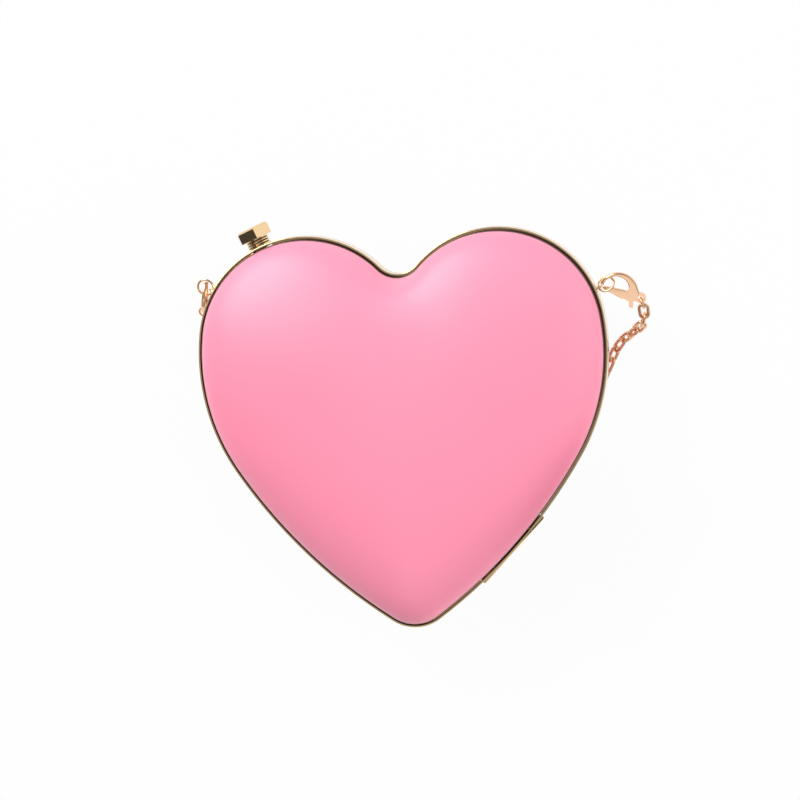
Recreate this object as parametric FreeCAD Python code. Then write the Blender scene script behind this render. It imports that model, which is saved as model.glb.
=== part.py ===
import FreeCAD, Part
import math
import os
from FreeCAD import Placement, Rotation, Vector

os.makedirs("parts", exist_ok=True)

# Heart shaped hard purse lying on its back: +Z through the front, +Y towards the two lobes.
# The origin is the middle of the flat crown that the back rests on. Lengths in mm, angles in degrees.

# Heart outline of the frame, right half, as arcs that run into each other
case_width = 180.0
lobe_overlap = 4.658
notch_radius = 10.8
flank_radius = 91.9
side_radius = 237.3
tip_radius = 18.1
flank_from = 8.2
side_from = -32.2

# Depth and the domed halves
case_depth = 60.0
seam_gap = 0.3
crown_share = 0.22
dome_power = 2.2
dome_steps = 9
dome_degree = 3
skirt_height = 6.2

# Metal frame of each half: an upright wall and a ledge along the seam
frame_depth = 7.0
frame_wall = 0.9
ledge_width = 6.0
ledge_thick = 1.2
frame_rounding = 0.3

# Layers of each half, from the outside in
shadow_gap = 0.5
leather_thick = 1.0
shell_thick = 1.6
lining_thick = 0.6
glue_gap = 0.1

# Hinge on the lower right side
hinge_angle = -44.6
hinge_length = 38.5
hinge_inset = 0.75
knuckle_count = 5
knuckle_gap = 0.2
barrel_radius = 1.3
pin_radius = 0.65
pin_head_radius = 1.0
pin_head_length = 0.4
leaf_thick = 0.7
leaf_seat = 0.05
leaf_edge = 0.5
hinge_rivet_radius = 0.8
hinge_rivet_count = 3
hinge_rivet_pitch = 13.0

# Push latch on the left lobe, sizes along its axis counted from the frame's outer face
knob_angle = 113.0
knob_flats = 14.0
knob_height = 5.2
knob_chamfer = 0.8
knob_turn = 40.0
neck_radius = 5.2
neck_rest = 0.9
neck_foot = 0.4
neck_groove_count = 3
neck_groove_radius = 0.4
stem_radius = 2.5
stem_socket = 3.4
knob_travel = 3.0
window_clearance = 0.25
notch_clearance = 0.7
block_setback = 1.5
block_length = 4.0
block_half_width = 10.0
block_depth = 4.6
riser_half_width = 4.5
riser_wall = 1.1
clip_radius = 3.2
clip_thick = 0.7
clip_gap = 0.2
keeper_thick = 1.2
keeper_gap = 0.3
keeper_half_width = 8.5
keeper_lip = 1.6
keeper_lip_thick = 1.1
keeper_drop = 4.5
fork_thick = 1.0
fork_overlap = 1.2
fork_play = 0.2
fork_end_play = 0.8
fork_height = 3.0
thread_radius = 1.5
nut_flats = 5.0
nut_length = 2.0
spring_radius = 3.6
spring_wire = 0.35
spring_turns = 4.5
spring_steps = 12
fastener_radius = 0.9
fastener_head_radius = 1.5
slide_clearance = 0.05
fit_clearance = 0.03

# Strap lugs and the rings in them
left_lug_angle = 149.0
right_lug_angle = 22.0
lug_radius = 2.0
lug_wire = 0.6
ring_radius = 3.6
ring_wire = 0.475
ring_seat = 0.72
left_ring_tilt = -22.9
right_ring_tilt = -34.6

# Lobster clasps
clasp_thick = 2.0
clasp_rounding = 0.6
eye_radius = 2.3
eye_hole_radius = 1.25
slot_width = 1.3
lever_root_thick = 1.1
lever_blade_thick = 1.8
lever_pin_radius = 0.5
end_ring_radius = 2.4
end_ring_wire = 0.5

# Clasp outline in its own axes: x from the eye's middle to the claw's tip, y towards the claw
clasp_neck = 1.2
claw_root = Vector(3.0, 4.4, 0)
claw_crest = Vector(10.4, 8.5, 0)
claw_tip = Vector(19.0, 1.1, 0)
claw_mouth = Vector(17.4, 0.6, 0)
claw_arch = Vector(11.2, 6.5, 0)
claw_throat = Vector(6.4, 2.6, 0)
slot_from = 1.4
slot_to = 9.0
slot_top = 2.1
lever_pivot = Vector(5.0, -0.5, 0)
blade_outline = [(7.3, 1.2), (14.2, 0.5), (17.2, 0.0), (17.4, -0.8), (9.4, -2.6), (7.3, -2.8)]
root_outline = [(7.4, 1.0), (5.0, 1.3), (3.4, 0.6), (3.0, -1.5), (2.1, -4.3), (2.0, -5.7), (3.8, -5.7),
                (4.4, -3.2), (7.4, -2.5)]

# How each clasp hangs: the place on the claw that the ring holds, its play in the ring,
# then the clasp's plan angle, slope and roll, and the plan angle and slope of its end ring
left_seat = Vector(17.52, 3.04, 0)
left_play = Vector(-0.21, -0.47, 0.26)
left_turn = (-104.2, -48.0, 85.4)
left_hang = (-103.0, -37.0)
right_seat = Vector(17.81, 1.94, 0)
right_play = Vector(-1.04, 1.03, 0.01)
right_turn = (-20.5, -6.5, 17.4)
right_hang = (-75.0, -22.0)

# Chain strap
link_length = 8.8
link_width = 5.4
link_wire = 0.8
link_play = 0.25
link_roll = 45.0
twist_links = 4
chain_height = 2.4
turn_start = 0.92
turn_shrink = 0.08
corner_share = 0.45

up = Vector(0, 0, 1)
parting = case_depth / 2
half_gap = seam_gap / 2
ledge_top = half_gap + ledge_thick
frame_top = half_gap + frame_depth


def direction(angle, slope=0.0):
    flat = math.cos(math.radians(slope))
    plan = math.radians(angle)
    return Vector(flat * math.cos(plan), flat * math.sin(plan), math.sin(math.radians(slope)))


def box(x0, x1, y0, y1, z0, z1):
    return Part.makeBox(x1 - x0, y1 - y0, z1 - z0, Vector(x0, y0, z0))


def rod(radius, x0, x1, y=0.0, z=0.0):
    return Part.makeCylinder(radius, x1 - x0, Vector(x0, y, z), Vector(1, 0, 0))


def post(radius, z0, z1, x=0.0, y=0.0):
    return Part.makeCylinder(radius, z1 - z0, Vector(x, y, z0), up)


# Thin wire that is bent many times has a six-sided section
wire_sides = 6
wire_turns = [2 * math.pi * (index + 0.5) / wire_sides for index in range(wire_sides)]


def wire_section(middle, first, second, first_radius, second_radius):
    return [middle + first * (first_radius * math.cos(turn)) + second * (second_radius * math.sin(turn))
            for turn in wire_turns]


def flat_face(*corners):
    return Part.Face(Part.makePolygon(list(corners) + [corners[0]]))


def mirrored(shape, normal):
    return shape.mirror(Vector(0, 0, 0), normal)


def save(name, *shapes):
    solids = [solid for shape in shapes for solid in shape.Solids]
    Part.makeCompound(solids).exportStep("parts/%s.step" % name)
    volume = sum(solid.Volume for solid in solids)
    valid = all(solid.isValid() for solid in solids)
    print("%-20s solids %3d  volume %10.2f  valid %s" % (name, len(solids), volume, valid))


# Heart outline: centres of the arcs, with the outline centred on the origin from tip to lobes

# The lobes' circles cross the middle by the overlap, which with the width gives their radius
flank_lean = direction(flank_from).x
lobe_radius = (case_width / 2 - flank_radius * (1 - flank_lean) + lobe_overlap) / (1 + flank_lean)
lobe_x = lobe_radius - lobe_overlap
side_reach = direction(flank_from) * (flank_radius - lobe_radius)
side_reach += direction(side_from) * (side_radius - flank_radius)
tip_reach = side_radius - tip_radius
tip_drop = side_reach.y + math.sqrt(tip_reach ** 2 - (lobe_x - side_reach.x) ** 2)
lobe_y = (tip_drop + tip_radius - lobe_radius) / 2
lobe_centre = Vector(lobe_x, lobe_y, 0)
flank_centre = lobe_centre - direction(flank_from) * (flank_radius - lobe_radius)
side_centre = lobe_centre - side_reach
tip_centre = Vector(0, lobe_y - tip_drop, 0)
tip_from = -math.degrees(math.acos(-side_centre.x / tip_reach))
notch_rise = math.sqrt((lobe_radius + notch_radius) ** 2 - lobe_x ** 2)
notch_centre = lobe_centre + Vector(-lobe_x, notch_rise, 0)
notch_to = -math.degrees(math.atan2(notch_rise, lobe_x))


def arc(centre, radius, start, end, side, scale, height):
    points = []
    for angle in (start, (start + end) / 2, end):
        point = (centre + direction(angle) * radius) * scale
        points.append(Vector(side * point.x, point.y, height))
    return points


def heart_wire(inset, scale=1.0, height=0.0):
    arcs = [
        (notch_centre, notch_radius + inset, -90, notch_to),
        (lobe_centre, lobe_radius - inset, 180 + notch_to, flank_from),
        (flank_centre, flank_radius - inset, flank_from, side_from),
        (side_centre, side_radius - inset, side_from, tip_from),
        (tip_centre, tip_radius - inset, tip_from, -90),
    ]
    right = [arc(*piece, 1, scale, height) for piece in arcs]
    left = [arc(*piece, -1, scale, height)[::-1] for piece in reversed(arcs)]
    return Part.Wire([Part.Arc(*points).toShape() for points in right + left])


def heart_prism(inset, z0, z1):
    return Part.Face(heart_wire(inset, 1.0, z0)).extrude(Vector(0, 0, z1 - z0))


def heart_band(outer_inset, inner_inset, z0, z1):
    return heart_prism(outer_inset, z0, z1).cut(heart_prism(inner_inset, z0, z1))


def on_side(angle):
    return side_centre + direction(angle) * side_radius


def on_lobe(angle):
    centre = Vector(math.copysign(lobe_x, direction(angle).x), lobe_y, 0)
    return centre + direction(angle) * lobe_radius


def at_edge(shape, point, angle):
    moved = shape.copy()
    moved.Placement = Placement(point, Rotation(up, angle)).multiply(moved.Placement)
    return moved


def to_front(shape):
    return shape.translated(Vector(0, 0, parting))


def to_back(shape):
    return mirrored(shape, up).translated(Vector(0, 0, parting))


hinge_point = on_side(hinge_angle)
knob_point = on_lobe(knob_angle)


def at_hinge(shape):
    return at_edge(shape, hinge_point, hinge_angle)


def at_knob(shape):
    return at_edge(shape, knob_point, knob_angle)


# Domed halves, made with the seam at z = 0 and the crown upwards

def dome(inset, base, skirt_top, crown):
    # A straight skirt under a loft of heart outlines that shrink along a superellipse
    last = math.acos(crown_share ** (dome_power / 2))
    full = (crown - skirt_top) / math.sin(last) ** (2 / dome_power)
    wires = []
    for step in range(dome_steps + 1):
        turn = last * step / dome_steps
        scale = math.cos(turn) ** (2 / dome_power)
        height = skirt_top + full * math.sin(turn) ** (2 / dome_power)
        wires.append(heart_wire(inset, scale, height))
    cap = Part.makeLoft(wires, True, False, False, dome_degree)
    return heart_prism(inset, base, skirt_top).fuse(cap)


def layer(inset, thick, crown):
    outer = dome(inset, ledge_top, skirt_height, crown)
    inner = dome(inset + thick, ledge_top - thick, skirt_height, crown - thick)
    notch = at_knob(rod(neck_radius + notch_clearance, -ledge_width, 0))
    return outer.cut(inner).cut(notch)


leather_inset = frame_wall + shadow_gap
shell_inset = leather_inset + leather_thick + glue_gap
lining_inset = shell_inset + shell_thick + glue_gap
shell_crown = parting - leather_thick - glue_gap
lining_crown = shell_crown - shell_thick - glue_gap

layers = {
    "cover": layer(leather_inset, leather_thick, parting),
    "shell": layer(shell_inset, shell_thick, shell_crown),
    "lining": layer(lining_inset, lining_thick, lining_crown),
}

# Hinge in its own axes: x outwards from the frame, y along the pin, z up from the seam

hinge_axis_x = -hinge_inset
leaf_inner_x = leaf_edge - ledge_width
leaf_bottom = half_gap + leaf_seat
leaf_top = leaf_bottom + leaf_thick
knuckle_length = (hinge_length - (knuckle_count - 1) * knuckle_gap) / knuckle_count
rivet_x = (leaf_inner_x + hinge_axis_x - barrel_radius) / 2
rivet_rows = [(row - (hinge_rivet_count - 1) / 2) * hinge_rivet_pitch for row in range(hinge_rivet_count)]


def barrel(radius, y0, y1):
    return Part.makeCylinder(radius, y1 - y0, Vector(hinge_axis_x, y0, 0), Vector(0, 1, 0))


def knuckle_span(index):
    start = -hinge_length / 2 + index * (knuckle_length + knuckle_gap)
    return start, start + knuckle_length


def hinge_leaf(first):
    leaf = box(leaf_inner_x, hinge_axis_x, -hinge_length / 2, hinge_length / 2, leaf_bottom, leaf_top)
    for index in range(knuckle_count):
        start, end = knuckle_span(index)
        if index % 2 == first:
            leaf = leaf.fuse(barrel(barrel_radius, start, end))
        else:
            leaf = leaf.cut(barrel(barrel_radius + knuckle_gap, start - knuckle_gap, end + knuckle_gap))
    leaf = leaf.cut(barrel(pin_radius + fit_clearance, -hinge_length, hinge_length))
    return leaf.cut(hinge_rivets(fit_clearance)).removeSplitter()


def hinge_rivets(clearance=0.0):
    radius = hinge_rivet_radius + clearance
    return Part.makeCompound([post(radius, leaf_bottom, ledge_top, rivet_x, y) for y in rivet_rows])


def hinge_pin():
    end = hinge_length / 2 + slide_clearance
    pin = barrel(pin_radius, -end, end)
    for start in (-end - pin_head_length, end):
        pin = pin.fuse(barrel(pin_head_radius, start, start + pin_head_length))
    return pin


def hinge_pocket():
    # Room in the frame for the barrel, its pin heads and the leaf let into the ledge
    room = barrel_radius + keeper_gap
    half = hinge_length / 2 + pin_head_length + keeper_gap
    pocket = box(hinge_axis_x - room, room, -half, half, 0, room)
    seat = box(leaf_inner_x, hinge_axis_x, -hinge_length / 2, hinge_length / 2, 0, leaf_top)
    return at_hinge(pocket.fuse(seat).fuse(hinge_rivets(fit_clearance)))


# Push latch in its own axes: x outwards along the plunger, y along the frame, z up from the seam

block_outer = -ledge_width - block_setback
block_inner = block_outer - block_length
clip_outer = block_inner - clip_gap
keeper_outer = clip_outer - clip_thick - keeper_gap
keeper_inner = keeper_outer - keeper_thick
lip_end = keeper_inner - keeper_lip
nose_tip = lip_end + fork_overlap
fork_outer = lip_end - fork_end_play
fork_inner = fork_outer - fork_thick
lip_top = keeper_lip_thick - keeper_drop
nose_bottom = lip_top + fork_play
slot_half = clip_radius + keeper_gap
tab_outer = -ledge_width
block_tab = (slot_half + stem_radius, block_half_width)
keeper_tab = (riser_half_width + keeper_gap, keeper_half_width)
block_screw = ((block_outer + block_inner) / 2, sum(block_tab) / 2)
keeper_rivet = ((tab_outer + clip_outer) / 2, sum(keeper_tab) / 2)
knob_seat = knob_travel + neck_rest


def both_sides(shape):
    return shape.fuse(mirrored(shape, Vector(0, 1, 0)))


def latch_tab(reach, span):
    return both_sides(box(reach, tab_outer, span[0], span[1], half_gap, ledge_top))


def countersunk(place, z0, z1, clearance=0.0):
    # A flush fastener whose head tapers into the face at z0
    radius = fastener_radius + clearance
    head_radius = fastener_head_radius + clearance
    head = Part.makeCone(head_radius, radius, head_radius - radius, Vector(*place, z0), up)
    return both_sides(post(radius, z0, z1, *place).fuse(head))


def block_screws(clearance=0.0):
    return countersunk(block_screw, half_gap, ledge_top + block_depth - keeper_thick, clearance)


def keeper_rivets(clearance=0.0):
    return countersunk(keeper_rivet, half_gap, ledge_top + keeper_thick, clearance)


def guide_block():
    # Made with the back's depth upwards, so the riser that carries the bore points down past the seam
    span = (block_inner, block_outer)
    riser_top = stem_radius + riser_wall
    block = box(*span, -block_half_width, block_half_width, ledge_top, ledge_top + block_depth)
    block = block.fuse(box(*span, -riser_half_width, riser_half_width, -riser_top, ledge_top))
    block = block.makeFillet(frame_wall, upright_edges(block, riser_half_width, -riser_top))
    return block.cut(rod(stem_radius + slide_clearance, *span)).cut(block_screws(fit_clearance))


def upright_edges(shape, half_width, z):
    return [
        edge for edge in shape.Edges
        if all(abs(abs(v.Y) - half_width) < 1e-6 and abs(v.Z - z) < 1e-6 for v in edge.Vertexes)
    ]


def latch_keeper():
    # A plate that straddles the stem, two ears on the frame's tabs and a lip under each leg
    plate_top = slot_half + keeper_thick
    plate = box(keeper_inner, keeper_outer, -keeper_half_width, keeper_half_width, -keeper_drop, plate_top)
    lip = box(lip_end, keeper_inner, -keeper_half_width, keeper_half_width, -keeper_drop, lip_top)
    slot = box(lip_end, keeper_outer, -slot_half, slot_half, -keeper_drop, 0)
    slot = slot.fuse(rod(slot_half, lip_end, keeper_outer))
    ear = box(keeper_outer, block_outer, keeper_tab[0], keeper_tab[1], ledge_top, ledge_top + keeper_thick)
    return plate.fuse(lip).cut(slot).fuse(both_sides(ear)).cut(keeper_rivets(fit_clearance)).removeSplitter()


def latch_fork():
    web = box(fork_inner, fork_outer, -keeper_half_width, keeper_half_width, nose_bottom, fork_height)
    nose_top = nose_bottom + fork_thick
    nose = box(fork_outer, nose_tip, slot_half + keeper_gap, keeper_half_width, nose_bottom, nose_top)
    hole = rod(thread_radius + fit_clearance, fork_inner, fork_outer)
    return web.fuse(both_sides(nose)).cut(hole).removeSplitter()


def hexagon_rod(flats, x0, x1, turn=0.0):
    corner = flats / math.sqrt(3)
    points = []
    for side in range(7):
        angle = math.radians(60 * side + turn)
        points.append(Vector(x0, corner * math.cos(angle), corner * math.sin(angle)))
    return Part.Face(Part.makePolygon(points)).extrude(Vector(x1 - x0, 0, 0))


def hex_knob():
    top = knob_seat + knob_height
    knob = hexagon_rod(knob_flats, knob_seat, top, knob_turn)
    rims = [edge for edge in knob.Edges if all(abs(v.X - top) < 1e-6 for v in edge.Vertexes)]
    knob = knob.makeChamfer(knob_chamfer, rims)
    return knob.cut(rod(stem_radius + fit_clearance, knob_seat, knob_seat + stem_socket))


def ribbed_neck():
    neck = rod(neck_radius, -neck_foot, knob_seat)
    pitch = knob_seat / (neck_groove_count + 0.5)
    for index in range(neck_groove_count):
        middle = Vector((index + 0.75) * pitch, 0, 0)
        neck = neck.cut(Part.makeTorus(neck_radius, neck_groove_radius, middle, Vector(1, 0, 0)))
    return neck.cut(rod(stem_radius + fit_clearance, -neck_foot, knob_seat))


def plunger_stem():
    stem = rod(stem_radius, fork_outer, knob_seat + stem_socket)
    thread = rod(thread_radius, fork_inner - nut_length, fork_outer)
    groove = rod(clip_radius, clip_outer - clip_thick, clip_outer)
    groove = groove.cut(rod(stem_radius - riser_wall, clip_outer - clip_thick, clip_outer))
    return stem.fuse(thread).cut(groove)


def stop_clip():
    inner = clip_outer - clip_thick + slide_clearance
    outer = clip_outer - slide_clearance
    shaft = stem_radius - riser_wall + fit_clearance
    ring = rod(clip_radius, inner, outer).cut(rod(shaft, inner, outer))
    return ring.cut(box(inner, outer, -shaft, shaft, -clip_radius, 0))


def fork_nut():
    nut = hexagon_rod(nut_flats, fork_inner - nut_length, fork_inner)
    return nut.cut(rod(thread_radius + fit_clearance, fork_inner - nut_length, fork_inner))


def latch_spring():
    # A coil of six-sided wire in short straight steps
    first = block_outer + spring_wire + slide_clearance
    free = -neck_foot - spring_wire - slide_clearance - first
    steps = int(spring_turns * spring_steps)
    sections = []
    for step in range(steps + 1):
        angle = 2 * math.pi * step / spring_steps
        out = Vector(0, math.cos(angle), math.sin(angle))
        middle = out * spring_radius + Vector(first + free * step / steps, 0, 0)
        sections.append(wire_section(middle, out, Vector(1, 0, 0), spring_wire, spring_wire))
    faces = [flat_face(*sections[0]), flat_face(*reversed(sections[-1]))]
    for before, ahead in zip(sections, sections[1:]):
        for index in range(wire_sides):
            after = (index + 1) % wire_sides
            faces.append(flat_face(before[index], ahead[index], ahead[after]))
            faces.append(flat_face(before[index], ahead[after], before[after]))
    return Part.makeSolid(Part.makeShell(faces))


# Frames: the wall and the ledge, with room for the hinge and the plunger and tabs for the latch

def frame_half(tab_reach, tab_span, tab_holes):
    wall = heart_band(0, frame_wall, half_gap, frame_top)
    rims = [edge for edge in wall.Edges if all(abs(v.Z - frame_top) < 1e-6 for v in edge.Vertexes)]
    frame = wall.makeFillet(frame_rounding, rims)
    frame = frame.fuse(heart_band(frame_wall, ledge_width, half_gap, ledge_top))
    frame = frame.fuse(at_knob(latch_tab(tab_reach, tab_span).fuse(tab_joint(tab_span))))
    frame = frame.cut(at_knob(tab_holes)).cut(hinge_pocket())
    return frame.cut(at_knob(rod(neck_radius + window_clearance, block_outer, lug_radius))).removeSplitter()


def tab_joint(span):
    # The ledge is curved, so each tab starts a little way under the wall
    return both_sides(box(tab_outer, -frame_wall * 2, span[0], span[1], half_gap, ledge_top))


lug_height = half_gap + frame_depth / 2


def lug_holes(angle):
    holes = [rod(lug_wire + fit_clearance, -frame_wall * 2, frame_wall, 0, lug_height + side * lug_radius)
             for side in (-1, 1)]
    return at_edge(Part.makeCompound(holes), on_lobe(angle), angle)


def strap_lug():
    # A staple with both legs through the frame's wall
    staple = Part.makeTorus(lug_radius, lug_wire, Vector(0, 0, lug_height), Vector(0, 1, 0))
    reach = lug_radius + lug_wire
    staple = staple.common(box(0, reach, -reach, reach, lug_height - reach, lug_height + reach))
    for side in (-1, 1):
        staple = staple.fuse(rod(lug_wire, -frame_wall, 0, 0, lug_height + side * lug_radius))
    return staple.removeSplitter()


def strap_ring(tilt):
    # A round wire ring through the staple, turned about the line that points away from the frame
    middle = Vector(ring_seat + ring_radius, 0, lug_height)
    ring = Part.makeTorus(ring_radius, ring_wire, middle, up)
    ring.rotate(middle, Vector(1, 0, 0), tilt)
    return ring


# Lobster clasps: x from the eye to the claw's tip, y towards the claw

def clasp_outline():
    neck = Vector(clasp_neck, math.sqrt(eye_radius ** 2 - clasp_neck ** 2), 0)
    chin = Vector(neck.x, -neck.y, 0)
    foot = Vector(claw_throat.x, -claw_throat.y, 0)
    return Part.Wire([
        Part.makeLine(neck, claw_root),
        Part.Arc(claw_root, claw_crest, claw_tip).toShape(),
        Part.makeLine(claw_tip, claw_mouth),
        Part.Arc(claw_mouth, claw_arch, claw_throat).toShape(),
        Part.makeLine(claw_throat, foot),
        Part.makeLine(foot, chin),
        Part.Arc(chin, Vector(-eye_radius, 0, 0), neck).toShape(),
    ])


def plate(wire, thick):
    low = wire.translated(Vector(0, 0, -thick / 2))
    return Part.Face(low).extrude(Vector(0, 0, thick))


def polygon(*points):
    corners = [Vector(*point, 0) for point in points]
    return Part.makePolygon(corners + corners[:1])


def clasp_body():
    body = plate(clasp_outline(), clasp_thick)
    curved = [edge for edge in body.Edges if edge.Curve.TypeId == "Part::GeomCircle"]
    body = body.makeFillet(clasp_rounding, [edge for edge in curved if edge.Curve.Radius > 2 * eye_radius])
    half = clasp_thick
    body = body.cut(post(eye_hole_radius, -half, half))
    slot = box(slot_from, slot_to, -claw_tip.x, slot_top, -slot_width / 2, slot_width / 2)
    return body.cut(slot.cut(post(eye_radius, -half, half))).cut(lever_pin(fit_clearance))


def clasp_lever():
    blade = plate(polygon(*blade_outline), lever_blade_thick)
    ends = [edge for edge in blade.Edges if abs(edge.Vertexes[0].Z - edge.Vertexes[-1].Z) < 1e-6
            and min(v.X for v in edge.Vertexes) > claw_throat.x + clasp_neck]
    blade = blade.makeFillet(lever_pin_radius / 2, ends)
    root = plate(polygon(*root_outline), lever_root_thick)
    hole = post(lever_pin_radius + fit_clearance, -clasp_thick, clasp_thick, lever_pivot.x, lever_pivot.y)
    return blade.fuse(root).cut(hole)


def lever_pin(clearance=0.0):
    half = clasp_thick / 2
    return post(lever_pin_radius + clearance, -half, half, lever_pivot.x, lever_pivot.y)


def end_ring(place, hang):
    # A round ring through the clasp's eye, hanging the way the chain leaves it
    middle = place.Base + hang * end_ring_radius
    return Part.makeTorus(end_ring_radius, end_ring_wire, middle, hang.cross(place.Rotation.multVec(up)))


def clasp_placement(lug_angle, seat, play, plan_angle, slope, roll):
    # Puts the seat on the claw inside its ring, with the eye away from the purse and the claw rolled upwards
    ring_middle = on_lobe(lug_angle) + direction(lug_angle) * (ring_seat + ring_radius)
    ring_middle += up * (parting - lug_height) + play
    along = direction(plan_angle, slope)
    claw = Rotation(along, roll).multVec(up.cross(along).normalize())
    turn = Rotation(along * -1, claw, claw.cross(along), "XYZ")
    return Placement(ring_middle - turn.multVec(seat), turn)


def placed(shape, placement):
    moved = shape.copy()
    moved.Placement = placement.multiply(moved.Placement)
    return moved


right_clasp_place = clasp_placement(right_lug_angle, right_seat, right_play, *right_turn)
left_clasp_place = clasp_placement(left_lug_angle, left_seat, left_play, *left_turn)


# Chain: oval links along straight runs joined by tangent arcs

def turn_points():
    # Put-away turns under the overhang, as a heart without its notch that shrinks as it goes round
    half_turn = [(89, 30), (84, 2), (70, -24), (52, -46), (31, -68), (10, -83)]
    left = [(-x, y) for x, y in reversed(half_turn)]
    over = [(-84, 60), (-66, 80), (-42, 87), (-20, 80), (0, 72), (20, 80), (42, 87), (66, 80), (84, 60)]
    lap = half_turn + left + over
    count = len(lap) + len(half_turn) + len(left) - 2
    points = []
    for index in range(1, count + 1):
        share = turn_start - turn_shrink * index / len(lap)
        x, y = lap[index % len(lap)]
        points.append(Vector(x * share, y * share, chain_height))
    return points


def chain_route():
    leave = [right_clasp_place.Base, (106.2, 47.0, 21.5), (105.9, 42.6, 17.9), (103.9, 39.2, 13.9),
             (100.7, 36.9, 9.7), (97.0, 34.8, 5.9), (93.6, 31.8, 3.4), (90.9, 27.4, 2.4), (88.2, 21.0, 2.2)]
    arrive = [(-70.6, 12.5, 2.9), (-74.2, 22.0, 6.3), (-79.6, 31.6, 6.9), (-84.7, 40.1, 6.9),
              (-88.4, 47.2, 7.0), (-89.3, 52.3, 8.0), left_clasp_place.Base]
    return [Vector(*p) for p in leave] + turn_points() + [Vector(*p) for p in arrive]


def route_pieces(points):
    # Each piece is a length and a function from distance to place
    pieces = []
    at = points[0]
    radii = []
    for before, corner, after in zip(points, points[1:], points[2:]):
        back = before - corner
        ahead = after - corner
        cut = corner_share * min(back.Length, ahead.Length)
        back.normalize()
        ahead.normalize()
        turn = math.pi - back.getAngle(ahead)
        radius = cut / math.tan(turn / 2)
        radii.append(radius)
        pieces.append(straight(at, corner + back * cut))
        middle = corner + (back + ahead).normalize() * (radius / math.cos(turn / 2))
        pieces.append(bend(middle, corner + back * cut, corner + ahead * cut, turn, radius))
        at = corner + ahead * cut
    pieces.append(straight(at, points[-1]))
    print("chain bend radii from %.1f to %.1f" % (min(radii), max(radii)))
    return pieces


def straight(start, end):
    along = end - start
    return along.Length, lambda distance: start + along * (distance / along.Length)


def bend(middle, start, end, turn, radius):
    out = start - middle
    axis = out.cross(end - middle).normalize()
    length = turn * radius
    return length, lambda distance: middle + Rotation(axis, math.degrees(distance / radius)).multVec(out)


def place_on(pieces, distance):
    for length, place in pieces:
        if distance <= length:
            return place(distance)
        distance -= length
    return place(length)


def chain_link():
    # A long eight-sided loop of six-sided wire, mitred at its corners
    bow = link_width / 2 - link_wire
    side = link_length / 2 - link_wire - bow
    mitre = 1 / math.cos(math.pi / 8)
    sections = []
    for step in range(8):
        out = direction(45 * step + 22.5)
        middle = out * (bow * mitre) + Vector(math.copysign(side, out.x), 0, 0)
        sections.append(wire_section(middle, out, up, link_wire * mitre, link_wire))
    faces = []
    for first, second in zip(sections, sections[1:] + sections[:1]):
        for index in range(wire_sides):
            after = (index + 1) % wire_sides
            faces.append(flat_face(first[index], second[index], second[after], first[after]))
    return Part.makeSolid(Part.makeShell(faces))


def strap_chain():
    pieces = route_pieces(chain_route())
    length = sum(piece[0] for piece in pieces)
    inner = link_length - 4 * link_wire
    first = 2 * end_ring_radius - end_ring_wire - link_wire - link_play / 2 + link_length / 2 - link_wire
    count = 2 * int(round(((length - 2 * first) / (inner - link_play) + 1) / 2))
    step = (length - 2 * first) / (count - 1)
    print("chain route %.1f, links %d, step %.3f of %.3f" % (length, count, step, inner))
    link = chain_link()
    links = []
    for index in range(count):
        middle = first + index * step
        before = place_on(pieces, middle - step / 2)
        after = place_on(pieces, middle + step / 2)
        along = (after - before).normalize()
        turn = Rotation(along, up.cross(along), up, "XZY")
        # Links lie at plus and minus the roll, and the ends twist to stand square to their rings
        twist = link_roll * max(0, 1 - min(index, count - 1 - index) / twist_links)
        roll = Rotation(Vector(1, 0, 0), twist + (link_roll if index % 2 else -link_roll))
        links.append(placed(link, Placement((before + after) / 2, turn.multiply(roll))))
    return Part.makeCompound(links)


# Put together

def main():
    for name, solid in layers.items():
        save("front_" + name, to_front(solid))
        save("back_" + name, to_back(solid))

    back_frame = frame_half(block_inner, block_tab, block_screws(fit_clearance))
    back_frame = back_frame.cut(lug_holes(left_lug_angle)).cut(lug_holes(right_lug_angle))
    save("back_frame", to_back(back_frame))
    save("front_frame", to_front(frame_half(clip_outer, keeper_tab, keeper_rivets(fit_clearance))))

    save("front_hinge_leaf", to_front(at_hinge(hinge_leaf(1))))
    save("back_hinge_leaf", to_back(at_hinge(hinge_leaf(0))))
    save("front_hinge_rivets", to_front(at_hinge(hinge_rivets())))
    save("back_hinge_rivets", to_back(at_hinge(hinge_rivets())))
    save("hinge_pin", to_front(at_hinge(hinge_pin())))

    save("guide_block", to_back(at_knob(guide_block())))
    save("block_screws", to_back(at_knob(block_screws())))
    save("latch_keeper", to_front(at_knob(latch_keeper())))
    save("keeper_rivets", to_front(at_knob(keeper_rivets())))
    save("hex_knob", to_front(at_knob(hex_knob())))
    save("ribbed_neck", to_front(at_knob(ribbed_neck())))
    save("plunger_stem", to_front(at_knob(plunger_stem())))
    save("stop_clip", to_front(at_knob(stop_clip())))
    save("latch_fork", to_front(at_knob(latch_fork())))
    save("fork_nut", to_front(at_knob(fork_nut())))
    save("latch_spring", to_front(at_knob(latch_spring())))

    sides = [
        ("left", left_lug_angle, left_ring_tilt, left_clasp_place, left_hang),
        ("right", right_lug_angle, right_ring_tilt, right_clasp_place, right_hang),
    ]
    for side, angle, tilt, place, hang in sides:
        save(side + "_lug", to_back(at_edge(strap_lug(), on_lobe(angle), angle)))
        save(side + "_ring", to_back(at_edge(strap_ring(-tilt), on_lobe(angle), angle)))
        save(side + "_clasp", placed(clasp_body(), place))
        save(side + "_lever", placed(clasp_lever(), place))
        save(side + "_lever_pin", placed(lever_pin(), place))
        save(side + "_end_ring", end_ring(place, direction(*hang)))
        print(side, "clasp eye", place.Base, "lever pivot", place.multVec(lever_pivot),
              "lever axis", place.Rotation.multVec(up))

    save("strap_chain", strap_chain())


main()
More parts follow.
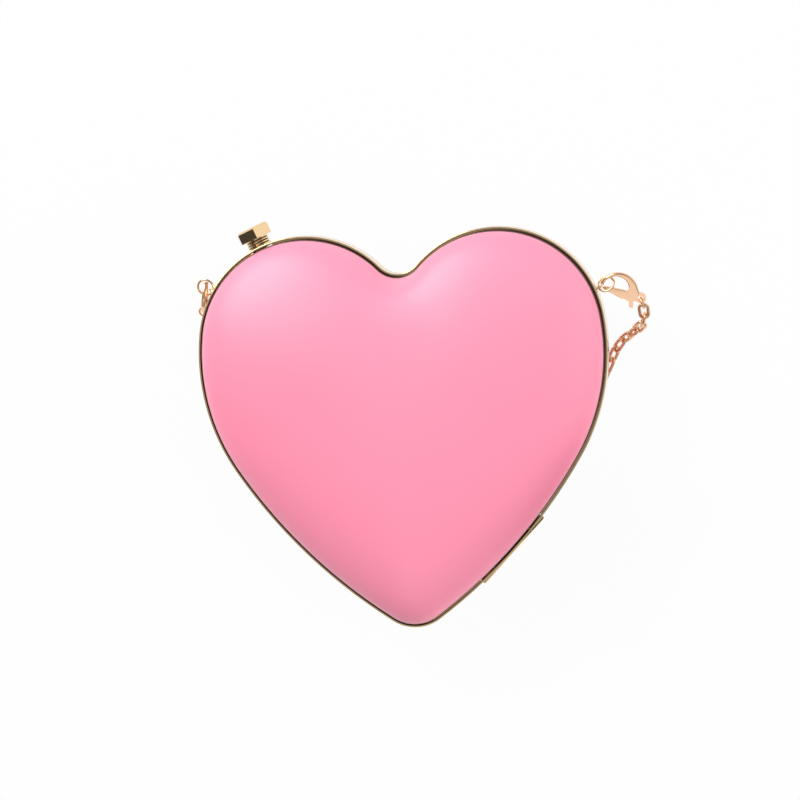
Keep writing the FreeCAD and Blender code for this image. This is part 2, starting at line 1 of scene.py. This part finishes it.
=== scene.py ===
from math import acos, atan2, cos, degrees, pi, radians, sin, sqrt

import bpy
import numpy as np
from mathutils import Matrix, Vector


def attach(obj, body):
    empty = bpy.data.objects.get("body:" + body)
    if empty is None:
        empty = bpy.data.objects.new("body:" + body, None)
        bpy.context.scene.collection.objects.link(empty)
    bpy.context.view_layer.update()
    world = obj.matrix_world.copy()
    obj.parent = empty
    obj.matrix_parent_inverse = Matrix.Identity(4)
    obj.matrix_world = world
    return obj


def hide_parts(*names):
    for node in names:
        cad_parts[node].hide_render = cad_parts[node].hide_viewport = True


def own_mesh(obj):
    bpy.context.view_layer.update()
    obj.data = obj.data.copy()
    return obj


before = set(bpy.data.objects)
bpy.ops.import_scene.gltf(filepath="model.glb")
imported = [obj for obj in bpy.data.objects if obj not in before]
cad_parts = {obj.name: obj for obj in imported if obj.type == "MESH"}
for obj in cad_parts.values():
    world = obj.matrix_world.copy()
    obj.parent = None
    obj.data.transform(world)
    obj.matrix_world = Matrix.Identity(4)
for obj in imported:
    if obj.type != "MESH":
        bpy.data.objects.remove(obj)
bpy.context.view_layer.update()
mm = 0.001
print("frame loaded:", len(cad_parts), "CAD nodes")


# a socket that does sums: each operator adds one Math node to the same tree
class Wire:
    def __init__(self, tree, socket):
        self.tree = tree
        self.socket = socket

    def sum(self, operation, first, second):
        node = self.tree.nodes.new("ShaderNodeMath")
        node.operation = operation
        for index, value in enumerate((first, second)):
            if isinstance(value, Wire):
                self.tree.links.new(value.socket, node.inputs[index])
            else:
                node.inputs[index].default_value = value
        return Wire(self.tree, node.outputs[0])

    def __add__(self, other):
        return self.sum("ADD", self, other)

    def __radd__(self, other):
        return self.sum("ADD", other, self)

    def __sub__(self, other):
        return self.sum("SUBTRACT", self, other)

    def __rsub__(self, other):
        return self.sum("SUBTRACT", other, self)

    def __mul__(self, other):
        return self.sum("MULTIPLY", self, other)

    def __rmul__(self, other):
        return self.sum("MULTIPLY", other, self)


# a material with its Principled shader, and one way to add any other node
class Finish:
    def __init__(self, name):
        self.material = bpy.data.materials.new(name)
        self.material.use_nodes = True
        self.tree = self.material.node_tree
        self.shader = next(n for n in self.tree.nodes if n.type == "BSDF_PRINCIPLED")

    def put(self, socket, value):
        if isinstance(value, Wire):
            self.tree.links.new(value.socket, socket)
        else:
            socket.default_value = value

    def node(self, kind, settings=None, inputs=None, out=0):
        made = self.tree.nodes.new("ShaderNode" + kind)
        for name, value in (settings or {}).items():
            setattr(made, name, value)
        for name, value in (inputs or {}).items():
            self.put(made.inputs[name], value)
        return Wire(self.tree, made.outputs[out])

    def surface(self, **sockets):
        for name, value in sockets.items():
            self.put(self.shader.inputs[name.replace("_", " ")], value)
        return self.material


def linear(red, green, blue):
    # screen colour, 0 to 255, as the linear colour that shaders take
    parts = [c / 255 for c in (red, green, blue)]
    return tuple(c / 12.92 if c <= 0.04045 else ((c + 0.055) / 1.055) ** 2.4 for c in parts) + (1.0,)


def noise(f, place, scale, detail):
    return f.node("TexNoise", None, {"Vector": place, "Scale": scale, "Detail": detail}, "Fac")


def blend(f, share, first, second):
    # from the first colour to the second as the share goes from 0 to 1
    # (a Mix node's sockets for colours are 6 and 7 in and 2 out)
    return f.node("Mix", {"data_type": "RGBA"}, {0: share, 6: first, 7: second}, 2)


# edge and its two heights give a painted shade: dark maroon at the leather's foot, for the shadowed groove by
# the frame
leatherLook = dict(pink=(255, 148, 176), deep=(254, 140, 168), edge=(70, 10, 20), seam=30.0, edgeFrom=9.7,
                   edgeTo=10.7, grain=900.0, grainSoft=0.6, grainShare=0.6, wrinkle=140.0, wrinkleShare=0.4,
                   drift=9.0, driftGain=1.6, driftShift=0.3, bump=0.1, bumpDepth=0.3, roughness=0.49,
                   roughDrift=0.1, coat=0.55, coatRoughness=0.42, shine=0.55)


def pinkLeather():
    # smooth coated leather: a fine pebble and soft wrinkles in the bump, the wrinkles in the gloss too,
    # a slow drift in colour and a painted shade, dark maroon, at its foot by the frame where the groove lies
    # in shadow
    look = leatherLook
    f = Finish("pinkLeather")
    place = f.node("TexCoord", out="Object")
    pebble = f.node("TexVoronoi", {"feature": "SMOOTH_F1"},
                    {"Vector": place, "Scale": look["grain"], "Smoothness": look["grainSoft"]}, "Distance")
    drift = noise(f, place, look["drift"], detail=3.0)
    soft = noise(f, place, look["wrinkle"], detail=4.0)
    paler = drift * look["driftGain"] - look["driftShift"]
    face = blend(f, paler, linear(*look["deep"]), linear(*look["pink"]))
    # painted shade: near the seam the colour turns dark maroon, standing in for the shadow in the groove
    # between leather and frame
    level = f.node("SeparateXYZ", None, {"Vector": place}, "Z")
    rise = f.node("Math", {"operation": "ABSOLUTE"}, {0: level - look["seam"] * mm})
    clear = f.node("MapRange", {"interpolation_type": "SMOOTHSTEP"},
                   {"Value": rise, "From Min": look["edgeFrom"] * mm,
                    "From Max": look["edgeTo"] * mm}, "Result")
    colour = blend(f, clear, linear(*look["edge"]), face)
    height = pebble * look["grainShare"] + soft * look["wrinkleShare"]
    depth = look["bumpDepth"] * mm
    bump = f.node("Bump", None, {"Strength": look["bump"], "Distance": depth, "Height": height}, "Normal")
    rough = look["roughness"] + (soft - 0.5) * look["roughDrift"]
    return f.surface(Base_Color=colour, Roughness=rough, Normal=bump, Coat_Weight=look["coat"],
                     Coat_Roughness=look["coatRoughness"], Specular_IOR_Level=look["shine"])


champagne = dict(pale=(250, 222, 178), warm=(238, 200, 150), patch=45.0, fine=600.0,
                 roughness=0.10, dulling=0.08)
rose = dict(pale=(253, 214, 178), warm=(243, 192, 153), patch=45.0, fine=600.0,
            roughness=0.14, dulling=0.08)


def plating(name, look):
    # polished plating, a touch warmer and duller in slow patches
    f = Finish(name)
    place = f.node("TexCoord", out="Object")
    patch = noise(f, place, look["patch"], detail=3.0)
    fine = noise(f, place, look["fine"], detail=2.0)
    colour = blend(f, patch, linear(*look["warm"]), linear(*look["pale"]))
    return f.surface(Base_Color=colour, Metallic=1.0, Roughness=look["roughness"] + fine * look["dulling"])


neckLook = dict(angle=113.0, pitch=1.114, first=0.836, shade=(30, 22, 18), shadeFrom=0.1, shadeTo=0.7,
                roughness=0.14, dulling=0.3)


def groovedGold():
    # the same gold with painted shade in the grooves: a cosine along the latch's axis, one turn for each
    # groove
    look = neckLook
    f = Finish("groovedGold")
    place = f.node("TexCoord", out="Object")
    aim = Vector((*unit(look["angle"]), 0))
    root = (lobeMiddle * [-1, 1]) @ unit(look["angle"]) + heart["lobe"] + look["first"]
    along = f.node("VectorMath", {"operation": "DOT_PRODUCT"}, {0: place, 1: aim}, "Value")
    turn = (along - root * mm) * (2 * pi / (look["pitch"] * mm))
    wave = f.node("Math", {"operation": "COSINE"}, {0: turn})
    # painted shade: the gold goes dark brown where the grooves are, standing in for the shadow in them
    deep = f.node("MapRange", {"interpolation_type": "SMOOTHSTEP"},
                  {"Value": wave, "From Min": look["shadeFrom"], "From Max": look["shadeTo"]}, "Result")
    pale, shade = linear(*champagne["pale"]), linear(*look["shade"])
    colour = blend(f, deep, pale, shade)
    return f.surface(Base_Color=colour, Metallic=1.0, Roughness=look["roughness"] + deep * look["dulling"])


steelLook = dict(grey=(196, 198, 202), fine=500.0, roughness=0.22, dulling=0.12)


def brightSteel():
    # bright spring steel with a fine change of gloss
    look = steelLook
    f = Finish("brightSteel")
    place = f.node("TexCoord", out="Object")
    fine = noise(f, place, look["fine"], detail=2.0)
    rough = look["roughness"] + fine * look["dulling"]
    return f.surface(Base_Color=linear(*look["grey"]), Metallic=1.0, Roughness=rough)


liningLook = dict(blush=(240, 190, 204), shade=(224, 166, 184), threads=1500.0, drift=30.0, bump=0.15,
                  bumpDepth=0.2, roughness=0.55, sheen=0.25)


def satinLining():
    # cloth with two sets of fine threads
    look = liningLook
    f = Finish("satinLining")
    place = f.node("TexCoord", out="Object")
    across = f.node("TexWave", {"bands_direction": "X"}, {"Vector": place, "Scale": look["threads"]}, "Fac")
    along = f.node("TexWave", {"bands_direction": "Y"}, {"Vector": place, "Scale": look["threads"]}, "Fac")
    weave = across * 0.5 + along * 0.5
    drift = noise(f, place, look["drift"], detail=3.0)
    colour = blend(f, drift, linear(*look["shade"]), linear(*look["blush"]))
    depth = look["bumpDepth"] * mm
    bump = f.node("Bump", None, {"Strength": look["bump"], "Distance": depth, "Height": weave}, "Normal")
    return f.surface(Base_Color=colour, Roughness=look["roughness"], Normal=bump, Sheen_Weight=look["sheen"])


shellLook = dict(deep=(104, 44, 58), dusky=(122, 54, 70), mottle=120.0, roughness=0.5, dulling=0.15)


def duskyShell():
    # moulded board, slightly mottled
    look = shellLook
    f = Finish("duskyShell")
    place = f.node("TexCoord", out="Object")
    mottle = noise(f, place, look["mottle"], detail=3.0)
    deep, dusky = linear(*look["deep"]), linear(*look["dusky"])
    colour = blend(f, mottle, deep, dusky)
    return f.surface(Base_Color=colour, Roughness=look["roughness"] + mottle * look["dulling"])


leather, steel, lining, shell = pinkLeather(), brightSteel(), satinLining(), duskyShell()
gold, roseGold = plating("champagneGold", champagne), plating("roseGold", rose)
print("finishes made")


def meshPiece(name, points, faces, material, body):
    # a smooth mesh that rides a body
    mesh = bpy.data.meshes.new(name)
    mesh.from_pydata(np.asarray(points).reshape(-1, 3).tolist(), [], [list(face) for face in faces])
    mesh.polygons.foreach_set("use_smooth", np.full(len(mesh.polygons), True))
    mesh.materials.append(material)
    mesh.update()
    piece = bpy.data.objects.new(name, mesh)
    bpy.context.scene.collection.objects.link(piece)
    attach(piece, body)
    return piece


def gridFaces(rows, columns, closeRows=False):
    # quads between neighbouring rows of a grid whose columns run round and meet
    r = np.arange(rows if closeRows else rows - 1)
    c = np.arange(columns)
    a, b = np.meshgrid(r, c, indexing="ij")
    nextRow, nextColumn = (a + 1) % rows, (b + 1) % columns
    quads = [a * columns + b, a * columns + nextColumn, nextRow * columns + nextColumn, nextRow * columns + b]
    return np.stack(quads, -1).reshape(-1, 4)


# heart outline: the same arcs as the frame's, right half from the notch down to the tip
heart = dict(width=180.0, lobe=47.1, notch=10.8, flank=91.9, side=237.3, tip=18.1,
             flankFrom=8.2, sideFrom=-32.2)


def unit(angle):
    # direction at an angle in degrees
    return np.array([cos(radians(angle)), sin(radians(angle))])


def heartArcs():
    # arcs that touch end to end: middle, radius, how an inset changes the radius, and the angles of both ends
    h = heart
    lobeX = h["width"] / 2 - h["flank"] + (h["flank"] - h["lobe"]) * unit(h["flankFrom"])[0]
    reach = unit(h["flankFrom"]) * (h["flank"] - h["lobe"]) + unit(h["sideFrom"]) * (h["side"] - h["flank"])
    tipReach = h["side"] - h["tip"]
    drop = reach[1] + sqrt(tipReach ** 2 - (lobeX - reach[0]) ** 2)
    lobe = np.array([lobeX, (drop + h["tip"] - h["lobe"]) / 2])
    flank = lobe - unit(h["flankFrom"]) * (h["flank"] - h["lobe"])
    side = lobe - reach
    tip = np.array([0, lobe[1] - drop])
    rise = sqrt((h["lobe"] + h["notch"]) ** 2 - lobeX ** 2)
    notchTo = -degrees(atan2(rise, lobeX))
    tipFrom = -degrees(acos(-side[0] / tipReach))
    return [
        (lobe + [-lobeX, rise], h["notch"], 1, -90, notchTo),
        (lobe, h["lobe"], -1, 180 + notchTo, h["flankFrom"]),
        (flank, h["flank"], -1, h["flankFrom"], h["sideFrom"]),
        (side, h["side"], -1, h["sideFrom"], tipFrom),
        (tip, h["tip"], -1, tipFrom, -90),
    ]


arcs = heartArcs()
lobeMiddle = arcs[1][0]


def heartOutline(inset, count):
    # points spaced evenly along the arcs of the right half, then the left half mirrored back up
    spans = [abs(radians(end - start)) * radius for _, radius, _, start, end in arcs]
    edges = np.concatenate([[0], np.cumsum(spans)])
    along = (np.arange(count // 2) + 0.5) / (count // 2) * edges[-1]
    which = np.searchsorted(edges, along) - 1
    middle = np.array([a[0] for a in arcs])[which]
    radius = np.array([a[1] + a[2] * inset for a in arcs])[which]
    start = np.array([a[3] for a in arcs])[which]
    end = np.array([a[4] for a in arcs])[which]
    angle = np.radians(start + (end - start) * (along - edges[which]) / np.array(spans)[which])
    right = middle + radius[:, None] * np.stack([np.cos(angle), np.sin(angle)], -1)
    return np.concatenate([right, right[::-1] * [-1, 1]])


caseLook = dict(parting=30.0, ledge=1.35, skirt=6.2, crown=30.0, power=2.35, inset=1.4, thick=0.7,
                lipRound=0.35, lipDrop=0.3, lipLean=0.6, knobAngle=113.0, knobRoom=5.9, soften=0.9,
                valley=40.0, bulge=2.5, bulgeWidth=24.0, columns=480, domeRows=56, skirtRows=6)


def knobArch(outline):
    # height of the arched gap in the skirt where the latch's neck passes
    look = caseLook
    middle = lobeMiddle * [-1, 1]
    aim = unit(look["knobAngle"])
    offset = (outline - middle) @ np.array([-aim[1], aim[0]])
    near = ((outline - middle) @ aim > 0) & (np.abs(offset) < look["knobRoom"])
    arch = np.where(near, np.sqrt(np.maximum(look["knobRoom"] ** 2 - offset ** 2, 0)), 0)
    return np.maximum(look["ledge"], arch)


def domeShell(inset, crown):
    # rings of the heart outline: scale is cos(t) and height sin(t), both to the power 2/p, and near the notch
    # each ring is softened along its length, the more the nearer to the middle, so that the valley fades out.
    # On top comes a bell over the middle of each lobe, and the whole is drawn in to end at the crown
    look = caseLook
    outline = heartOutline(inset, look["columns"])
    t = np.linspace(0, pi / 2, look["domeRows"] + 1)
    scale = np.cos(t) ** (2 / look["power"])
    height = look["skirt"] + (crown - look["skirt"]) * np.sin(t) ** (2 / look["power"])
    waves = np.fft.fftfreq(look["columns"]) * look["columns"]
    spread = look["soften"] * (1 - scale)
    fade = np.exp(-(spread[:, None] * waves) ** 2 / 2)
    soft = np.fft.ifft(np.fft.fft(outline[:, 0] + 1j * outline[:, 1]) * fade, axis=1)
    near = np.exp(-(outline[:, 0] / look["valley"]) ** 2) * (outline[:, 1] > 0)
    ring = outline + near[:, None] * (np.stack([soft.real, soft.imag], -1) - outline)
    plan = ring * scale[:, None, None]
    apart = np.stack([np.abs(plan[..., 0]), plan[..., 1]], -1) - lobeMiddle
    bell = np.exp(-(apart ** 2).sum(-1) / (2 * look["bulgeWidth"] ** 2)) * (1 - scale[:, None])
    level = height[:, None] + look["bulge"] * bell - look["skirt"]
    return outline, np.dstack([plan, look["skirt"] + level * (crown - look["skirt"]) / level.max()])


def leatherCover(name, body, node, flip):
    # one closed skin: up the inside from the pole, round the lip, and over the outside to the other pole
    look = caseLook
    outline, outer = domeShell(look["inset"], look["crown"])
    innerLine, inner = domeShell(look["inset"] + look["thick"], look["crown"] - look["thick"])
    lip = knobArch(outline)
    lipEnd, lipCorner = lip + look["lipRound"], lip + look["lipRound"] * look["lipDrop"]
    middleLine = (outline + innerLine) / 2
    lean = look["lipLean"]
    share = np.arange(look["skirtRows"])[:, None] / look["skirtRows"]
    skirt = lipEnd + (look["skirt"] - lipEnd) * share
    rows = [(innerLine, level) for level in skirt[::-1]]
    rows += [(middleLine * (1 - lean) + innerLine * lean, lipCorner), (middleLine, lip),
             (middleLine * (1 - lean) + outline * lean, lipCorner)]
    rows += [(outline, level) for level in skirt]
    rows = np.array([np.column_stack(row) for row in rows])
    grid = np.concatenate([inner[::-1][1:], rows, outer[:-1]]) * mm
    grid[..., 2] = look["parting"] * mm + (-grid[..., 2] if flip else grid[..., 2])
    faces = gridFaces(len(grid), look["columns"])
    caps = [np.arange(look["columns"])[::-1], (len(grid) - 1) * look["columns"] + np.arange(look["columns"])]
    poles = np.array([grid[0].mean(0), grid[-1].mean(0)])
    points = np.concatenate([grid.reshape(-1, 3), poles])
    fans = []
    for index, ring in enumerate(caps):
        pole = np.full(len(ring), len(points) - 2 + index)
        fans += np.stack([ring, np.roll(ring, -1), pole], -1).tolist()
    allFaces = faces.tolist() + fans
    if flip:
        allFaces = [face[::-1] for face in allFaces]
    piece = meshPiece(name, points, allFaces, leather, body)
    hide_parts(node)


leatherCover("frontLeather", "front", "front_cover", False)
leatherCover("backLeather", "back", "back_cover", True)
print("leather covers made")


# chain strap: the ends are given points in metres, the turns under the overhang are in millimetres
chainLook = dict(link=8.8, width=5.4, wire=0.8, play=0.25, roll=45.0, twist=4, endRing=2.4, endWire=0.5,
                 height=2.4, turnStart=0.92, turnShrink=0.08, order=3, splineSteps=24, loopSteps=16,
                 wireSteps=6, thick=4.6)
leave = [(0.1049428, 0.0523938, 0.0237674), (0.1062, 0.0470, 0.0215), (0.1059, 0.0426, 0.0179),
         (0.1039, 0.0392, 0.0139), (0.1007, 0.0369, 0.0097), (0.0970, 0.0348, 0.0059),
         (0.0936, 0.0318, 0.0034), (0.0909, 0.0274, 0.0024), (0.0882, 0.0210, 0.0022)]
arrive = [(-0.0706, 0.0125, 0.0029), (-0.0742, 0.0220, 0.0063), (-0.0796, 0.0316, 0.0069),
          (-0.0847, 0.0401, 0.0069), (-0.0884, 0.0472, 0.0070), (-0.0893, 0.0523, 0.0080),
          (-0.0892872, 0.0569008, 0.0115625)]
halfTurn = [(89, 30), (84, 2), (70, -24), (52, -46), (31, -68), (10, -83)]
overTop = [(-84, 60), (-66, 80), (-42, 87), (-20, 80), (0, 72), (20, 80), (42, 87), (66, 80), (84, 60)]


def chainPoints():
    # down to the table, one and a half turns that shrink as they go, and up to the other clasp
    look = chainLook
    lap = halfTurn + [(-x, y) for x, y in reversed(halfTurn)] + overTop
    points = []
    for index in range(1, len(lap) + 2 * len(halfTurn) - 1):
        share = (look["turnStart"] - look["turnShrink"] * index / len(lap)) * mm
        x, y = lap[index % len(lap)]
        points.append((x * share, y * share, look["height"] * mm))
    return leave + points + arrive


def splineLine(points):
    # the curve that the points steer, read back as close points along it
    curve = bpy.data.curves.new("chainLine", "CURVE")
    curve.dimensions = "3D"
    spline = curve.splines.new("NURBS")
    spline.points.add(len(points) - 1)
    spline.points.foreach_set("co", [c for p in points for c in (*p, 1.0)])
    spline.order_u = chainLook["order"]
    spline.use_endpoint_u = True
    spline.resolution_u = chainLook["splineSteps"]
    holder = bpy.data.objects.new("chainLine", curve)
    bpy.context.scene.collection.objects.link(holder)
    read = holder.evaluated_get(bpy.context.evaluated_depsgraph_get()).to_mesh()
    line = np.zeros(len(read.vertices) * 3)
    read.vertices.foreach_get("co", line)
    bpy.data.objects.remove(holder)
    return line.reshape(-1, 3)


def linkSurface():
    # a round wire carried round a stadium: two half circles joined by two straight sides
    look = chainLook
    bow = look["width"] / 2 - look["wire"]
    side = look["link"] / 2 - look["wire"] - bow
    half = look["loopSteps"] // 2
    turn = np.linspace(-pi / 2, pi / 2, half)
    angle = np.concatenate([turn, turn + pi])
    shift = np.where(np.arange(2 * half) < half, side, -side)
    out = np.stack([np.cos(angle), np.sin(angle), np.zeros_like(angle)], -1)
    middle = out * bow
    middle[:, 0] += shift
    ring = np.linspace(0, 2 * pi, look["wireSteps"], endpoint=False)
    section = np.cos(ring)[None, :, None] * out[:, None] + np.sin(ring)[None, :, None] * np.array([0, 0, 1.0])
    return (middle[:, None] + look["wire"] * section) * mm


def placeAlong(line, distance):
    # the points at these distances along a line, and the length of the whole line
    steps = np.linalg.norm(np.diff(line, axis=0), axis=1)
    total = np.concatenate([[0], np.cumsum(steps)])
    return np.stack([np.interp(distance, total, line[:, i]) for i in range(3)], -1), total[-1]


def strapChain():
    # links half a pitch each way along the line, rolled plus and minus in turn, square to the end rings
    look = chainLook
    line = splineLine(chainPoints())
    length = placeAlong(line, [0])[1]
    inner = look["link"] - 4 * look["wire"]
    reach = 2 * look["endRing"] - look["endWire"] - look["wire"] - look["play"] / 2
    first = (reach + look["link"] / 2 - look["wire"]) * mm
    count = 2 * int(round(((length - 2 * first) / ((inner - look["play"]) * mm) + 1) / 2))
    step = (length - 2 * first) / (count - 1)
    middle = first + np.arange(count) * step
    before, after = placeAlong(line, middle - step / 2)[0], placeAlong(line, middle + step / 2)[0]
    along = (after - before) / np.linalg.norm(after - before, axis=1)[:, None]
    across = np.cross([0, 0, 1.0], along)
    across /= np.linalg.norm(across, axis=1)[:, None]
    lift = np.cross(along, across)
    order = np.arange(count)
    twist = look["roll"] * np.maximum(0, 1 - np.minimum(order, count - 1 - order) / look["twist"])
    roll = np.radians(twist + np.where(order % 2, look["roll"], -look["roll"]))[:, None]
    sideways = across * np.cos(roll) + lift * np.sin(roll)
    normal = lift * np.cos(roll) - across * np.sin(roll)
    link = linkSurface()
    rows, columns = link.shape[:2]
    points = ((before + after) / 2)[:, None, None] + link[None, ..., 0:1] * along[:, None, None] \
        + link[None, ..., 1:2] * sideways[:, None, None] + link[None, ..., 2:3] * normal[:, None, None]
    faces = gridFaces(rows, columns, True)[None] + (np.arange(count) * rows * columns)[:, None, None]
    piece = meshPiece("chain", points, faces.reshape(-1, 4)[:, ::-1], roseGold, "back")
    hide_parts("strap_chain")
    print("chain:", count, "links on a line of %.3f m" % length)
    return piece, line


chain, chainLine = strapChain()

dressLook = dict(join=1e-6, crease=32.0)


def dressNode(node, material):
    # a CAD node as it is, with its triangles joined, smooth faces and kept creases
    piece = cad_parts[node]
    piece.data.materials.clear()
    piece.data.materials.append(material)
    piece.data.polygons.foreach_set("use_smooth", np.full(len(piece.data.polygons), True))
    weld = piece.modifiers.new("join", "WELD")
    weld.merge_threshold = dressLook["join"]
    split = piece.modifiers.new("crease", "EDGE_SPLIT")
    split.split_angle = radians(dressLook["crease"])


goldNodes = ["back_frame", "front_frame", "front_hinge_leaf", "back_hinge_leaf", "front_hinge_rivets",
             "back_hinge_rivets", "hinge_pin", "guide_block", "block_screws", "latch_keeper", "keeper_rivets",
             "hex_knob", "plunger_stem", "latch_fork", "fork_nut", "left_lug", "right_lug", "right_ring"]
roseNodes = ["left_ring", "left_clasp", "right_clasp", "left_lever", "right_lever", "left_lever_pin",
             "right_lever_pin", "left_end_ring", "right_end_ring"]
for node in goldNodes:
    dressNode(node, gold)
dressNode("ribbed_neck", groovedGold())
for node in roseNodes:
    dressNode(node, roseGold)
dressNode("stop_clip", steel)
for half in ("front", "back"):
    dressNode(half + "_shell", shell)
    dressNode(half + "_lining", lining)
print("CAD nodes dressed")

springLook = dict(radius=3.6, wire=0.35, turns=4.5, start=-7.1, end=-0.8, face=-7.5, travel=3.0,
                  steps=160, sides=8)


def latchSpring():
    # a round wire on a helix round the plunger, as it is at rest
    look = springLook
    axis = np.append(unit(caseLook["knobAngle"]), 0)
    side = np.array([-axis[1], axis[0], 0])
    base = np.append(lobeMiddle * [-1, 1] + unit(caseLook["knobAngle"]) * heart["lobe"], caseLook["parting"])
    turn = np.linspace(0, 2 * pi * look["turns"], look["steps"])[:, None]
    out = side * np.cos(turn) + np.array([0, 0, 1.0]) * np.sin(turn)
    reach = np.linspace(look["start"], look["end"], look["steps"])[:, None]
    middle = base + axis * reach + out * look["radius"]
    ring = np.linspace(0, 2 * pi, look["sides"], endpoint=False)[None, :, None]
    points = middle[:, None] + look["wire"] * (out[:, None] * np.cos(ring) + axis * np.sin(ring))
    faces = gridFaces(look["steps"], look["sides"]).tolist()
    last = look["steps"] * look["sides"]
    faces += [list(range(look["sides"])), list(range(last - look["sides"], last))[::-1]]
    piece = meshPiece("spring", points * mm, faces, steel, "back")
    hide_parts("latch_spring")
    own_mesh(piece)


latchSpring()


# stage: a pale floor that is white to the camera, a soft key lamp from the upper left, a fill lamp from
# the right, and cards for the reflections
stageLook = dict(floor=(222, 221, 220), floorRoughness=0.9, size=3.0, white=0.96, world=0.42,
                 aim=(0, 0, 0.03), flag=0.05, card=1.0)
lamps = dict(
    keyLamp=dict(place=(-0.85, 1.0, 0.95), size=1.25, power=23.5, shine=True),
    fillLamp=dict(place=(1.15, -0.1, 0.75), size=1.2, power=12.0, shine=False),
)
cards = dict(
    leftFlag=dict(place=(-0.77, -0.33, 1.0), half=0.42, dark=True, shade=False),
    farFlag=dict(place=(0.35, 1.5, 0.45), half=0.5, dark=True, shade=False),
    lowFlag=dict(place=(0.108, -0.068, 0.036), half=0.036, dark=True, shade=True),
    rightCard=dict(place=(1.25, 0.5, 0.4), half=0.4, dark=False, shade=False),
    frontCard=dict(place=(-0.05, -0.85, 0.95), half=0.26, dark=False, shade=False),
)


def squareSheet(name, half, material):
    mesh = bpy.data.meshes.new(name)
    corners = [(-half, -half, 0), (half, -half, 0), (half, half, 0), (-half, half, 0)]
    mesh.from_pydata(corners, [], [(0, 1, 2, 3)])
    mesh.materials.append(material)
    sheet = bpy.data.objects.new(name, mesh)
    bpy.context.scene.collection.objects.link(sheet)
    return sheet


def paleFloor():
    # a floor that keeps a trace of the shadow and is otherwise white to the camera, in reflections
    # and through clear pieces
    look = stageLook
    f = Finish("paleFloor")
    out = next(n for n in f.tree.nodes if n.type == "OUTPUT_MATERIAL")
    f.surface(Base_Color=linear(*look["floor"]), Roughness=look["floorRoughness"])
    seen = f.node("LightPath", out="Is Camera Ray")
    glossy = f.node("LightPath", out="Is Glossy Ray")
    through = f.node("LightPath", out="Is Transmission Ray")
    glow = f.node("Emission", None, {"Color": (1, 1, 1, 1), "Strength": 1.0})
    shaded = Wire(f.tree, f.shader.outputs[0])
    mixed = f.node("MixShader", None, {0: (seen + glossy + through) * look["white"], 1: shaded, 2: glow})
    f.tree.links.new(mixed.socket, out.inputs["Surface"])
    squareSheet("floor", look["size"], f.material)


def softLamp(name, place, size, power, shine):
    # a round lamp aimed at the purse, which shiny faces reflect only with shine
    lamp = bpy.data.lights.new(name, "AREA")
    lamp.shape, lamp.size, lamp.energy = "DISK", size, power
    holder = bpy.data.objects.new(name, lamp)
    holder.location = place
    holder.visible_glossy = shine
    holder.rotation_euler = (Vector(stageLook["aim"]) - Vector(place)).to_track_quat("-Z", "Y").to_euler()
    bpy.context.scene.collection.objects.link(holder)


def studioCard(name, place, half, material, shade):
    # a card that only reflections see, or with shade also the soft light, facing the purse
    card = squareSheet(name, half, material)
    card.location = place
    card.rotation_euler = Vector(place).to_track_quat("Z", "Y").to_euler()
    card.visible_camera = card.visible_shadow = card.visible_transmission = False
    card.visible_diffuse = shade


def studioCards():
    dark, pale = Finish("darkCard"), Finish("paleCard")
    dark.surface(Base_Color=(stageLook["flag"],) * 3 + (1.0,), Roughness=1.0)
    pale.surface(Base_Color=(0, 0, 0, 1), Emission_Color=(1, 1, 1, 1), Emission_Strength=stageLook["card"])
    for name, card in cards.items():
        finish = dark if card["dark"] else pale
        studioCard(name, card["place"], card["half"], finish.material, card["shade"])


paleFloor()
studioCards()
for name, lamp in lamps.items():
    softLamp(name, **lamp)
world = bpy.data.worlds.new("studio")
world.use_nodes = True
world.node_tree.nodes["Background"].inputs["Strength"].default_value = stageLook["world"]
world.node_tree.nodes["Background"].inputs["Color"].default_value = (1, 1, 1, 1)
bpy.context.scene.world = world
bpy.context.scene.view_settings.view_transform = "Standard"

# camera: nearly straight down, leaning to the upper right, with the heart turned a little in the picture
cameraLook = dict(aim=(-2.8, 12.9, 30.0), tilt=6.5, lean=35.0, roll=-3.05, distance=2000.0, across=351.9,
                  sensor=36.0, near=0.05, far=20.0)


def photoCamera():
    # the lens is set by the width of the picture in millimetres at the aim's distance
    look = cameraLook
    data = bpy.data.cameras.new("camera")
    data.sensor_width = look["sensor"]
    data.lens = look["sensor"] * look["distance"] / look["across"]
    data.clip_start, data.clip_end = look["near"], look["far"]
    camera = bpy.data.objects.new("camera", data)
    bpy.context.scene.collection.objects.link(camera)
    tilt, lean = radians(look["tilt"]), radians(look["lean"])
    back = Vector((sin(tilt) * cos(lean), sin(tilt) * sin(lean), cos(tilt)))
    upward = Matrix.Rotation(radians(look["roll"]), 3, "Z") @ Vector((0, 1, 0))
    right = upward.cross(back).normalized()
    upward = back.cross(right)
    turn = Matrix((right, upward, back)).transposed()
    place = (Vector(look["aim"]) + back * look["distance"]) * mm
    camera.matrix_world = Matrix.Translation(place) @ turn.to_4x4()
    bpy.context.scene.camera = camera


photoCamera()
print("stage and camera ready")
